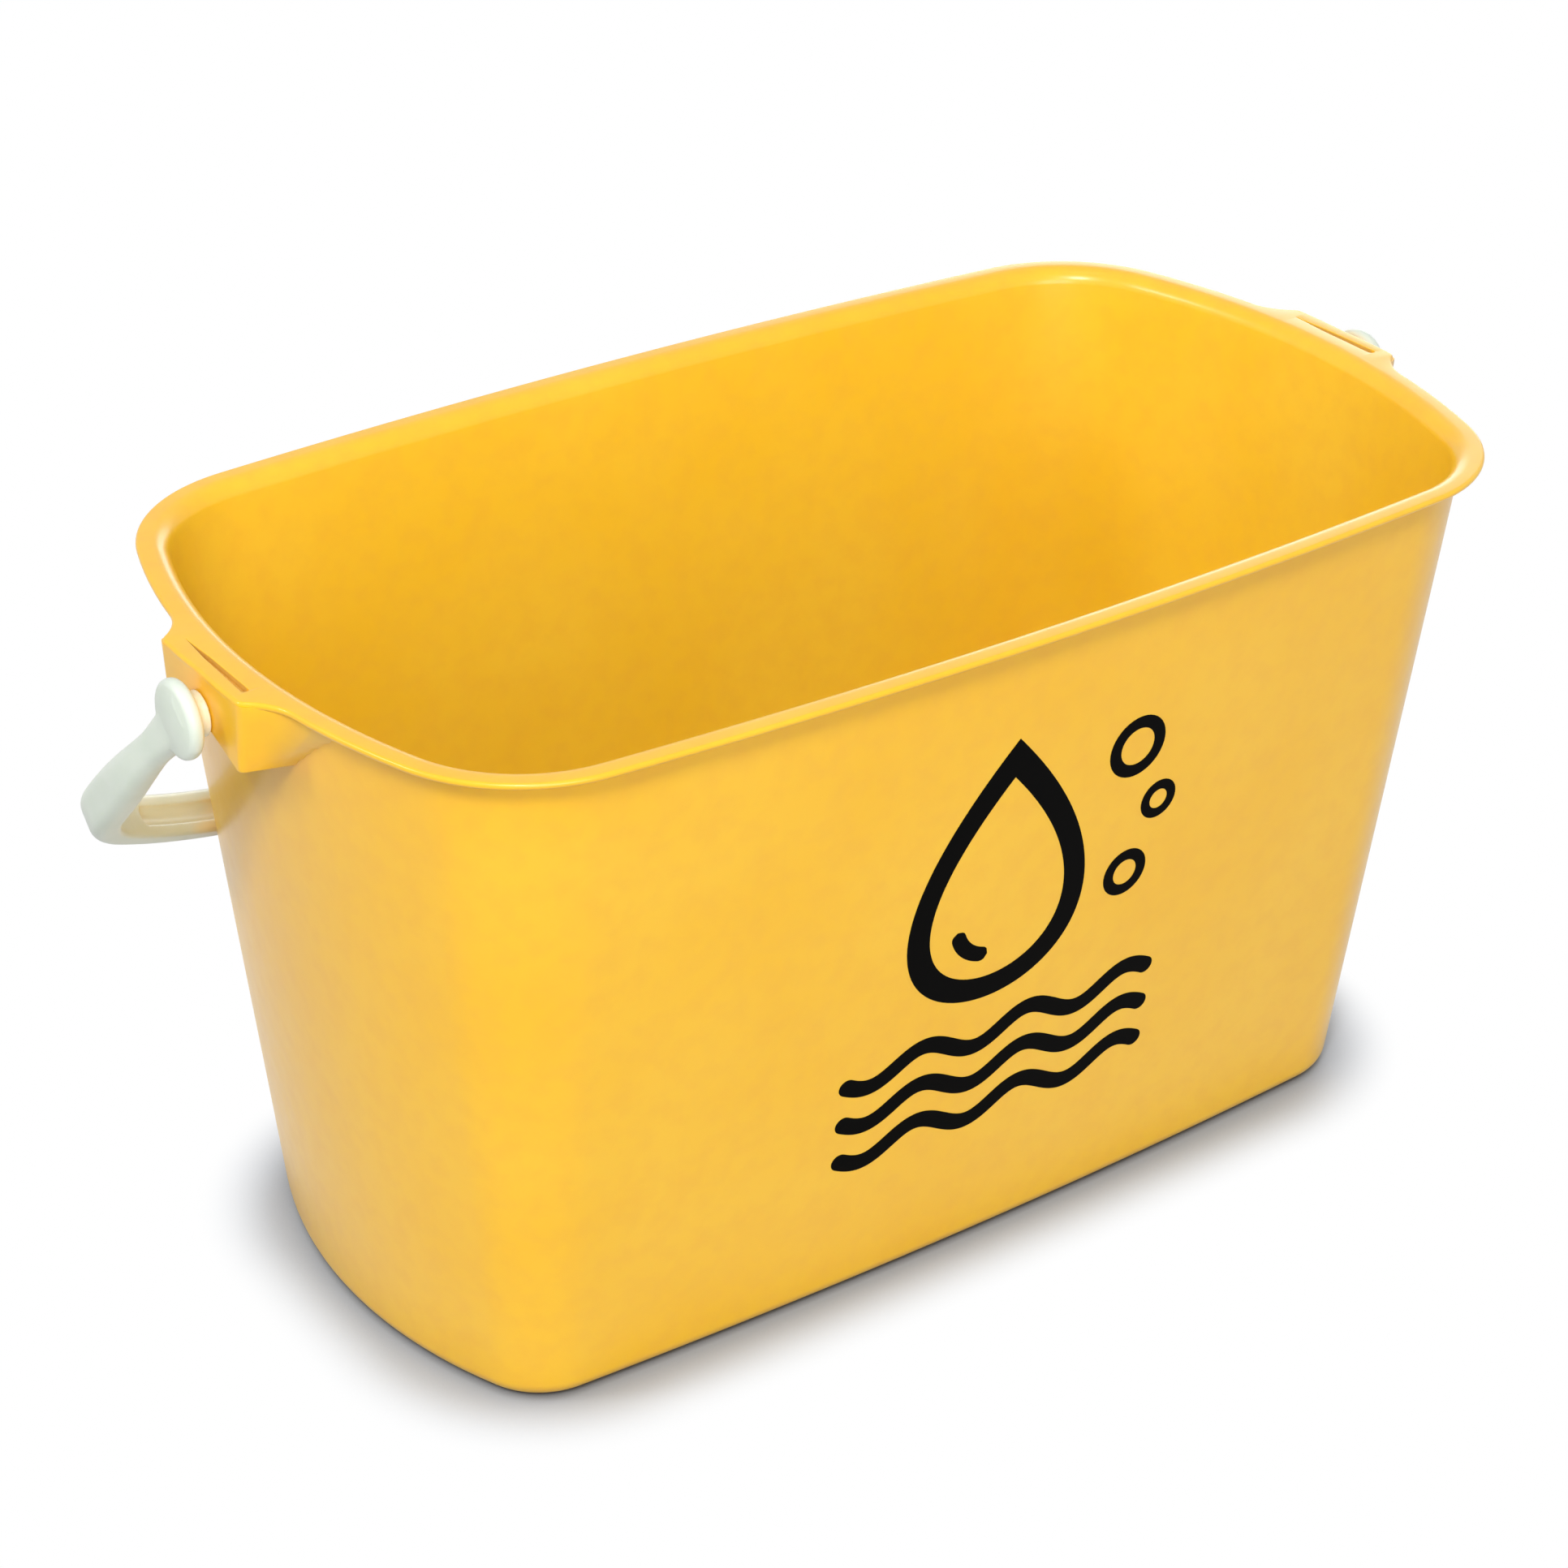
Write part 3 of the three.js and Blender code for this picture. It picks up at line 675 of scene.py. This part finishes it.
def make_print():
    outer = teardrop(DROP_X, DROP_Z, DROP_HALF, DROP_RISE, steps=120)
    inner = teardrop(DROP_X, DROP_Z - DROP_HOLE_SINK, DROP_HOLE_HALF, DROP_HOLE_RISE, steps=120)
    glint = arc(DROP_X, DROP_Z - GLINT_SINK, GLINT_RADIUS, *GLINT_TURNS, steps=24)
    strokes = [ink_band("drop", outer, inner, closed=True), stroke("glint", glint, GLINT_LINE)]
    for x, z, radius, line in BUBBLES:
        strokes.append(stroke("bubble", circle(x, z, radius, steps=40), line, closed=True))
    for z in WAVE_HEIGHTS:
        wave = []
        for x in fine_ends(-WAVE_HALF, WAVE_HALF, WAVE_LINE, steps=120):
            wave.append((x, z + WAVE_SWING * math.sin(math.tau * x / WAVE_LENGTH)))
        strokes.append(stroke("wave", wave, WAVE_LINE))
    joined = bmesh.new()
    for part in strokes:
        joined.from_mesh(part.data)
        bpy.data.objects.remove(part)
    bmesh.ops.recalc_face_normals(joined, faces=joined.faces)
    made = mesh_object("front_print", [], [])
    joined.to_mesh(made.data)
    joined.free()
    made.data.materials.append(print_ink())
    shade(made, sharp_angle=40)
    return made


# Materials


def linear(hex_colour):
    """A colour written as sRGB hex, turned to linear."""
    parts = [int(hex_colour[i:i + 2], 16) / 255 for i in (1, 3, 5)]
    return tuple(c / 12.92 if c <= 0.04045 else ((c + 0.055) / 1.055) ** 2.4 for c in parts) + (1,)


def set_inputs(tree, node, inputs):
    """Inputs, by name or by number, take a value or another node's output."""
    for key, value in inputs.items():
        place = node.inputs[key] if isinstance(key, int) else next(
            socket for socket in node.inputs if socket.name == key and socket.enabled)
        if isinstance(value, bpy.types.NodeSocket):
            tree.links.new(value, place)
        else:
            place.default_value = value


def add_node(tree, kind, settings, inputs):
    """One node with its settings, values and links; it gives back the node's outputs."""
    made = tree.nodes.new(kind)
    for key, value in settings.items():
        setattr(made, key, value)
    set_inputs(tree, made, inputs)
    return made.outputs


def new_material(name):
    """An empty material's node tree, its surface shader and its coordinates in metres."""
    material = bpy.data.materials.new(name)
    material.use_nodes = True
    tree = material.node_tree
    place = add_node(tree, "ShaderNodeTexCoord", {}, {})["Object"]
    return material, tree, tree.nodes["Principled BSDF"], place


def per_mm(size):
    """Noise scale for features of this size in millimetres."""
    return 1 / (size * MM)


def tub_plastic():
    """Polypropylene, pigmented yellow and injection moulded in a fine-spark mould: an even,
    slightly waxy colour, a soft wide sheen, and a very faint unevenness from shrinkage."""
    material, tree, shader, place = new_material("polypropylene_moulded_yellow")
    flow = add_node(tree, "ShaderNodeTexNoise", {}, {
        "Vector": place, "Scale": per_mm(90), "Detail": 2.0})
    tone = add_node(tree, "ShaderNodeMapRange", {}, {
        "Value": flow["Fac"], "From Min": 0.35, "From Max": 0.65})
    batch = add_node(tree, "ShaderNodeMix", {"data_type": "RGBA"}, {
        "Factor": tone["Result"], "A": linear("#F6BD1E"), "B": linear("#F8C22A")})
    # Pigment streaks are finer than a millimetre; they are drawn at 9 mm so that they show
    streaks = add_node(tree, "ShaderNodeTexNoise", {}, {
        "Vector": place, "Scale": per_mm(9), "Detail": 3.0})
    pigment = add_node(tree, "ShaderNodeMapRange", {}, {
        "Value": streaks["Fac"], "From Min": 0.4, "From Max": 0.7, "To Max": 0.34})
    yellow = add_node(tree, "ShaderNodeMix", {"data_type": "RGBA"}, {
        "Factor": pigment["Result"], "A": batch[2], "B": linear("#EFB12E")})
    # Light that the walls pass on over more than a few centimetres is drawn nearly white, as
    # under a studio's even fill: the inside keeps the plastic's yellow and the paper stays grey
    rays = add_node(tree, "ShaderNodeLightPath", {}, {})
    far = add_node(tree, "ShaderNodeMapRange", {}, {
        "Value": rays["Ray Length"], "From Min": 30 * MM, "From Max": 120 * MM})
    passed = add_node(tree, "ShaderNodeMath", {"operation": "MULTIPLY"}, {
        0: rays["Is Diffuse Ray"], 1: far["Result"]})
    colour = add_node(tree, "ShaderNodeMix", {"data_type": "RGBA"}, {
        "Factor": passed["Value"], "A": yellow[2], "B": linear("#F1EAD9")})
    # Handling marks: patches a few millimetres across where the sheen is a little duller
    marks = add_node(tree, "ShaderNodeTexNoise", {}, {
        "Vector": place, "Scale": per_mm(7), "Detail": 4.0})
    rough = add_node(tree, "ShaderNodeMapRange", {}, {
        "Value": marks["Fac"], "To Min": 0.28, "To Max": 0.36})
    # Shallow waves a few centimetres long, where the wall sank as it cooled
    sink = add_node(tree, "ShaderNodeTexNoise", {}, {
        "Vector": place, "Scale": per_mm(45), "Detail": 1.0})
    waves = add_node(tree, "ShaderNodeBump", {}, {
        "Height": sink["Fac"], "Strength": 0.5, "Distance": 0.25 * MM})
    # Mould grain is about 0.1 mm; it is drawn at 0.8 mm so that it shows
    grain = add_node(tree, "ShaderNodeTexNoise", {}, {
        "Vector": place, "Scale": per_mm(0.8), "Detail": 2.0})
    skin = add_node(tree, "ShaderNodeBump", {}, {
        "Height": grain["Fac"], "Strength": 0.25, "Distance": 0.02 * MM,
        "Normal": waves["Normal"]})
    # A weak coat gives the rim's soft highlights, and a little light glows back from inside
    set_inputs(tree, shader, {
        "Base Color": colour[2], "Roughness": rough["Result"], "Normal": skin["Normal"],
        "IOR": 1.49, "Coat Weight": 0.15, "Coat Roughness": 0.12,
        "Subsurface Weight": 0.12, "Subsurface Radius": (1.0, 0.5, 0.12),
        "Subsurface Scale": 3 * MM})
    return material


def slot_painted_shade():
    """Painted shade in the lugs' slots: a dull, darker brownish yellow over the slots' deep faces.
    """
    material, tree, shader, place = new_material("painted_shade_in_slots")
    shade_blotches = add_node(tree, "ShaderNodeTexNoise", {}, {
        "Vector": place, "Scale": per_mm(1.5), "Detail": 3.0})
    # Blotchy painted shade, from darker to lighter brownish yellow
    colour = add_node(tree, "ShaderNodeMix", {"data_type": "RGBA"}, {
        "Factor": shade_blotches["Fac"], "A": linear("#D2A03E"), "B": linear("#EAB852")})
    set_inputs(tree, shader, {"Base Color": colour[2], "Roughness": 0.7})
    return material


def bail_plastic():
    """Polypropylene without pigment, injection moulded: milky, slightly green, and cloudy a few
    millimetres deep, so its edges glow and its shaded faces stay light."""
    material, tree, shader, place = new_material("polypropylene_natural_milky")
    cloud = add_node(tree, "ShaderNodeTexNoise", {}, {
        "Vector": place, "Scale": per_mm(18), "Detail": 3.0})
    tone = add_node(tree, "ShaderNodeMapRange", {}, {
        "Value": cloud["Fac"], "From Min": 0.3, "From Max": 0.7})
    milk = add_node(tree, "ShaderNodeMix", {"data_type": "RGBA"}, {
        "Factor": tone["Result"], "A": linear("#D6E0D2"), "B": linear("#DEE6DA")})
    # Painted warm light in the hollows, such as the channel, and near the tub: ambient occlusion
    # tints them yellow, standing in for light through the thin plastic and yellow light thrown
    # back from the tub
    hollow = add_node(tree, "ShaderNodeAmbientOcclusion", {"samples": 8}, {
        "Distance": 10 * MM})
    painted_warm_light = add_node(tree, "ShaderNodeMapRange", {}, {
        "Value": hollow["AO"], "From Min": 0.35, "From Max": 0.95, "To Min": 0.6, "To Max": 0.0})
    colour = add_node(tree, "ShaderNodeMix", {"data_type": "RGBA"}, {
        "Factor": painted_warm_light["Result"], "A": milk[2], "B": linear("#FFE4A6")})
    # Handling marks, a little duller than the plastic round them
    marks = add_node(tree, "ShaderNodeTexNoise", {}, {
        "Vector": place, "Scale": per_mm(4), "Detail": 4.0})
    rough = add_node(tree, "ShaderNodeMapRange", {}, {
        "Value": marks["Fac"], "To Min": 0.3, "To Max": 0.4})
    # Mould grain is about 0.1 mm; it is drawn at 0.6 mm so that it shows
    grain = add_node(tree, "ShaderNodeTexNoise", {}, {
        "Vector": place, "Scale": per_mm(0.6), "Detail": 2.0})
    skin = add_node(tree, "ShaderNodeBump", {}, {
        "Height": grain["Fac"], "Strength": 0.2, "Distance": 0.02 * MM})
    set_inputs(tree, shader, {
        "Base Color": colour[2], "Roughness": rough["Result"], "Normal": skin["Normal"],
        "IOR": 1.49, "Subsurface Weight": 0.55, "Subsurface Radius": (1.0, 1.0, 0.85),
        "Subsurface Scale": 5 * MM})
    return material


def print_ink():
    """Screen-printed ink: dense black, flatter than the plastic, with a slightly uneven film."""
    material, tree, shader, place = new_material("screen_print_ink_black")
    film = add_node(tree, "ShaderNodeTexNoise", {}, {
        "Vector": place, "Scale": per_mm(2.5), "Detail": 3.0})
    colour = add_node(tree, "ShaderNodeMix", {"data_type": "RGBA"}, {
        "Factor": film["Fac"], "A": linear("#030303"), "B": linear("#090807")})
    rough = add_node(tree, "ShaderNodeMapRange", {}, {
        "Value": film["Fac"], "To Min": 0.45, "To Max": 0.6})
    skin = add_node(tree, "ShaderNodeBump", {}, {
        "Height": film["Fac"], "Strength": 0.2, "Distance": 0.02 * MM})
    # Ink has an IOR of about 1.5; here it is lower, because the print shows next to no shine
    set_inputs(tree, shader, {
        "Base Color": colour[2], "Roughness": rough["Result"], "Normal": skin["Normal"],
        "IOR": 1.25, "Specular IOR Level": 0.06})
    return material


# Studio: white floor that holds the soft shadow, white surroundings, soft lamps

AMBIENT = 0.45
FLOOR_HALF = 6000.0
# A painted contact shadow darkens the paper within CONTACT of the walls. Round the foot's plan,
# drawn with corners of FOOT_ROUND, it fades over SHADOW_REACH to the surroundings' white
CONTACT = 45.0
FOOT_ROUND = 60.0
SHADOW_REACH = 32.0

# Camera in millimetres and in degrees: azimuth, elevation and roll
CAMERA_PLACE = (-679.39, -932.15, 811.55)
CAMERA_ANGLES = (-35.35, 29.94, 0.50)
CAMERA_LENS = 82.34

# Place, aim and diameter in millimetres, and power in watts
LAMPS = {
    "key": ((-1400, -1600, 2300), (0, 0, 150), 750, 47),
    "fill": ((-700, -2100, 700), (0, 0, 100), 1400, 22),
    "side": ((-2000, 700, 1500), (-150, 0, 200), 600, 12),
    "back": ((1800, 1600, 500), (0, 0, 150), 1400, 13),
    "top": ((-100, 0, 2300), (0, 0, 150), 700, 1),
}


def seen_directly(tree):
    """1 for rays from the camera and for those that a gloss or clear surface sends on."""
    rays = add_node(tree, "ShaderNodeLightPath", {}, {})
    either = add_node(tree, "ShaderNodeMath", {"operation": "MAXIMUM"}, {
        0: rays["Is Camera Ray"], 1: rays["Is Glossy Ray"]})
    any_of = add_node(tree, "ShaderNodeMath", {"operation": "MAXIMUM"}, {
        0: either["Value"], 1: rays["Is Transmission Ray"]})
    return any_of["Value"]


def make_world():
    """Even light from all round, which is plain white where it is seen directly."""
    world = bpy.data.worlds.new("studio")
    world.use_nodes = True
    tree = world.node_tree
    tree.nodes.clear()
    ambient = add_node(tree, "ShaderNodeBackground", {}, {
        "Color": (1, 1, 1, 1), "Strength": AMBIENT})
    white = add_node(tree, "ShaderNodeBackground", {}, {"Color": (1, 1, 1, 1), "Strength": 1.0})
    mixed = add_node(tree, "ShaderNodeMixShader", {}, {
        0: seen_directly(tree), 1: ambient["Background"], 2: white["Background"]})
    add_node(tree, "ShaderNodeOutputWorld", {}, {"Surface": mixed["Shader"]})
    bpy.context.scene.world = world


def make_floor():
    """Matt white paper: it holds the bucket's soft shadow from the lamps, with painted shadow
    close under the walls, and has no shine.
    """
    corners = ((-1, -1, 0), (1, -1, 0), (1, 1, 0), (-1, 1, 0))
    floor = mesh_object("studio_floor", [Vector(c) * FLOOR_HALF for c in corners], [(0, 1, 2, 3)])
    material = bpy.data.materials.new("studio_paper_white")
    material.use_nodes = True
    tree = material.node_tree
    tree.nodes.clear()
    # Painted contact shadow: ambient occlusion darkens the paper close under the walls, and a
    # faint blue offsets the yellow light that the walls throw on it. The paper passes little light
    # up to the walls
    painted_contact_shadow = add_node(tree, "ShaderNodeAmbientOcclusion", {"samples": 16}, {
        "Distance": CONTACT * MM})
    seen = add_node(tree, "ShaderNodeMix", {"data_type": "RGBA"}, {
        "Factor": painted_contact_shadow["AO"], "A": linear("#383B40"), "B": linear("#E6EEFA")})
    rays = add_node(tree, "ShaderNodeLightPath", {}, {})
    tone = add_node(tree, "ShaderNodeMix", {"data_type": "RGBA"}, {
        "Factor": rays["Is Diffuse Ray"], "A": seen[2], "B": linear("#8C8C8C")})
    paper = add_node(tree, "ShaderNodeBsdfDiffuse", {}, {"Color": tone[2]})
    glow = add_node(tree, "ShaderNodeEmission", {}, {"Color": (1, 1, 1, 1), "Strength": 1.0})
    # Away from the bucket's foot the paper fades to the surroundings' white
    place = add_node(tree, "ShaderNodeTexCoord", {}, {})["Object"]
    half_plan = (BASE_PLAN["length"] - FOOT_ROUND, BASE_PLAN["width"] - FOOT_ROUND, 0)
    mirrored_place = add_node(tree, "ShaderNodeVectorMath", {"operation": "ABSOLUTE"}, {0: place})
    beyond = add_node(tree, "ShaderNodeVectorMath", {"operation": "SUBTRACT"}, {
        0: mirrored_place["Vector"], 1: Vector(half_plan) * MM})
    outside = add_node(tree, "ShaderNodeVectorMath", {"operation": "MAXIMUM"}, {
        0: beyond["Vector"], 1: (0, 0, 0)})
    distance = add_node(tree, "ShaderNodeVectorMath", {"operation": "LENGTH"}, {
        0: outside["Vector"]})
    fade = add_node(tree, "ShaderNodeMapRange", {"interpolation_type": "SMOOTHSTEP"}, {
        "Value": distance["Value"], "From Min": FOOT_ROUND * MM,
        "From Max": (FOOT_ROUND + SHADOW_REACH) * MM})
    share = add_node(tree, "ShaderNodeMath", {"operation": "MULTIPLY"}, {
        0: fade["Result"], 1: seen_directly(tree)})
    mixed = add_node(tree, "ShaderNodeMixShader", {}, {
        0: share["Value"], 1: paper["BSDF"], 2: glow["Emission"]})
    add_node(tree, "ShaderNodeOutputMaterial", {}, {"Surface": mixed["Shader"]})
    floor.data.materials.append(material)


def make_lamp(name, place, aim, size, power):
    lamp = bpy.data.lights.new(name, "AREA")
    lamp.shape = "DISK"
    lamp.size = size * MM
    lamp.energy = power
    made = bpy.data.objects.new(name, lamp)
    made.location = Vector(place) * MM
    made.rotation_euler = (Vector(aim) - Vector(place)).to_track_quat("-Z", "Y").to_euler()
    bpy.context.scene.collection.objects.link(made)


def make_camera():
    azimuth, elevation, roll = (math.radians(a) for a in CAMERA_ANGLES)
    back = Vector((
        math.sin(azimuth) * math.cos(elevation),
        -math.cos(azimuth) * math.cos(elevation),
        math.sin(elevation)))
    right = Vector((math.cos(azimuth), math.sin(azimuth), 0))
    up = back.cross(right)
    rolled_right = right * math.cos(roll) + up * math.sin(roll)
    rolled_up = up * math.cos(roll) - right * math.sin(roll)
    data = bpy.data.cameras.new("camera")
    data.sensor_width = 36
    data.lens = CAMERA_LENS
    data.clip_start, data.clip_end = 0.05, 50
    camera = bpy.data.objects.new("camera", data)
    axes = Matrix((rolled_right, rolled_up, back)).transposed().to_4x4()
    camera.matrix_world = Matrix.Translation(Vector(CAMERA_PLACE) * MM) @ axes
    bpy.context.scene.collection.objects.link(camera)
    bpy.context.scene.camera = camera


make_camera()
make_world()
make_floor()
for lamp_name, lamp_sizes in LAMPS.items():
    make_lamp(lamp_name, *lamp_sizes)

tub = make_tub()
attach(tub, "tub")
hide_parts("tub")

bail = make_bail(hang_angle())
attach(bail, "bail")
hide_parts("bail")

front_print = make_print()
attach(front_print, "tub")

bpy.context.scene.view_settings.view_transform = "Standard"
